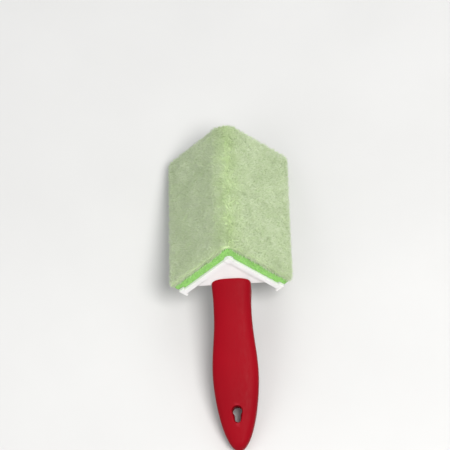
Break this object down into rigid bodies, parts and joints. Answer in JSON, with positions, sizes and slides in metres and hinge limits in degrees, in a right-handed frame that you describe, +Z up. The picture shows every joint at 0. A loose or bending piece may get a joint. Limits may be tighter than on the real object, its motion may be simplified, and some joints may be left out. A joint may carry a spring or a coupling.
{
  "type": "corner pad painter",
  "caption": "Hand paint pad for inside corners: V-shaped pile pad on flexing wings, pull-off refill, and a paddle handle with a hang hole.",
  "frame": {"origin": "centre of the hang hole, on its axis, at the middle plane of the handle", "axes": "+Y towards the far end of the pad, +Z up from the table the tool rests on with the pad side up, +X across the tool"},
  "size_m": [0.0886, 0.2369, 0.0821],
  "materials": {
    "handle_red": "moulded, satin gloss",
    "frame_white": "moulded, satin",
    "backing_white": "extruded sheet, matte",
    "foam_green": "open-cell foam",
    "pile_green": "short dense pile",
    "screw_steel": "zinc plated"
  },
  "bodies": {
    "holder": {"handle": "handle_red", "centre_frame": "frame_white", "handle_screws": "screw_steel"},
    "left_wing": {"wing_left": "frame_white"},
    "right_wing": {"wing_right": "frame_white"},
    "refill": {"backing_fold": "backing_white"},
    "refill_left": {"backing_left": "backing_white", "foam_left": "foam_green", "pile_left": "pile_green"},
    "refill_right": {"backing_right": "backing_white", "foam_right": "foam_green", "pile_right": "pile_green"}
  },
  "joints": [
    {"name": "left_wing_flex", "type": "hinge", "parent": "holder", "child": "left_wing", "pos_m": [0, 0.14999, 0.03629], "axis": [0, -0.9642, 0.2651], "range_deg": [-2.5, 2.5], "stiffness_Nm_per_rad": 1},
    {"name": "right_wing_flex", "type": "hinge", "parent": "holder", "child": "right_wing", "pos_m": [0, 0.14999, 0.03629], "axis": [0, 0.9642, -0.2651], "range_deg": [-2.5, 2.5], "stiffness_Nm_per_rad": 1},
    {"name": "refill_slide", "type": "slide", "parent": "holder", "child": "refill", "axis": [0, 0.9642, -0.2651], "range_m": [0, 0.12]},
    {"name": "refill_left_flex", "type": "hinge", "parent": "refill", "child": "refill_left", "pos_m": [0, 0.14999, 0.03629], "axis": [0, -0.9642, 0.2651], "range_deg": [-2.5, 2.5]},
    {"name": "refill_right_flex", "type": "hinge", "parent": "refill", "child": "refill_right", "pos_m": [0, 0.14999, 0.03629], "axis": [0, 0.9642, -0.2651], "range_deg": [-2.5, 2.5]}
  ],
  "couplings": [
    {"joint": "refill_left_flex", "follows": "left_wing_flex", "ratio": 1},
    {"joint": "refill_right_flex", "follows": "right_wing_flex", "ratio": 1}
  ]
}
